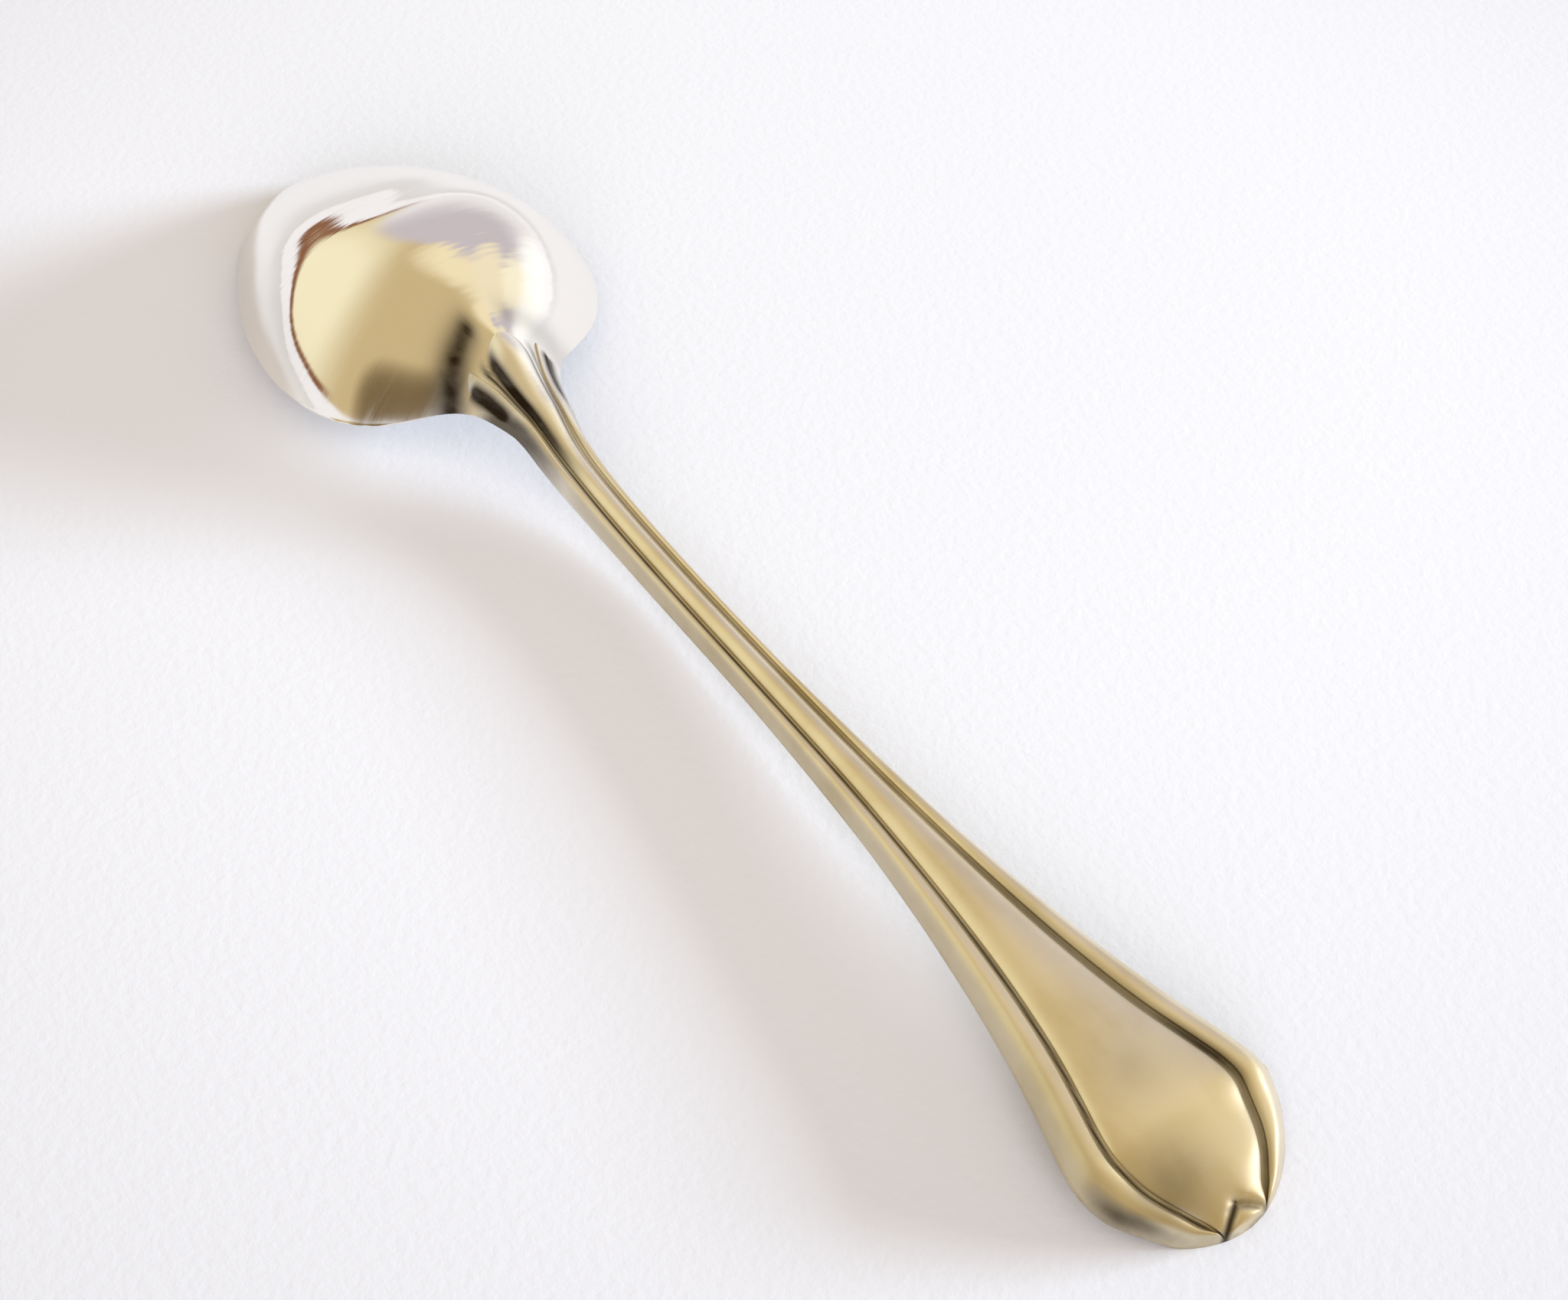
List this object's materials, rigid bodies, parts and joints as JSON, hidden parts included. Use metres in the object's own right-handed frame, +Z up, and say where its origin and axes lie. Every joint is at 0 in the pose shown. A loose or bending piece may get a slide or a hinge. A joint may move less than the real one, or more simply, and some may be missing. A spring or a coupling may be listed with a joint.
{
  "type": "teaspoon",
  "caption": "Silver-plated teaspoon lying face down, with an egg-shaped bowl, a slim stem and a handle whose back has threads, a panel and a tongue.",
  "frame": {"origin": "on the table, under the middle of the spoon's length and width, with the spoon lying on its rim, back upwards", "axes": "+X from the bowl to the end of the handle, +Y to the side, +Z up, out of the back of the spoon"},
  "size_m": [0.136, 0.032, 0.0136],
  "materials": {
    "bowl_plate": "mirror-polished silver plate with faint hairlines",
    "handle_plate": "polished silver plate, warm and darker in the grooves",
    "raised_plate": "polished silver plate, softly worn on the raised work"
  },
  "bodies": {
    "root": {"bowl": "bowl_plate", "neck": "handle_plate", "stem": "handle_plate", "blade": "handle_plate", "tongue": "raised_plate", "ridge": "raised_plate", "panel": "raised_plate", "thread_left": "raised_plate", "thread_right": "raised_plate"}
  },
  "joints": []
}
